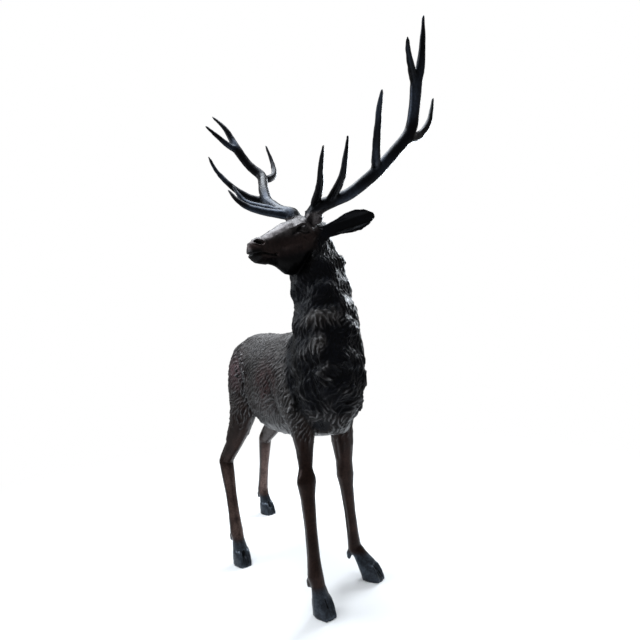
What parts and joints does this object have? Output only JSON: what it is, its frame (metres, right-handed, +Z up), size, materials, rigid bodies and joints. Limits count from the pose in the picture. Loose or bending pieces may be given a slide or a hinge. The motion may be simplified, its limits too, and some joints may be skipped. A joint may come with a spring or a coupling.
{
  "type": "bronze deer sculpture",
  "caption": "Standing stag with branched antlers, cast in bronze, head turned to its right, free-standing on its own hooves.",
  "frame": {"origin": "on the ground, under the middle of the whole figure's box", "axes": "+Z up, -Y the way the body faces, +X the stag's left side"},
  "size_m": [0.7662, 1.7924, 2.3443],
  "materials": {
    "bronze": "cast bronze with a dark blue-black to red-brown patina, satin, rubbed browner on the face, flanks and legs"
  },
  "bodies": {
    "root": {"stag": "bronze"}
  },
  "joints": []
}
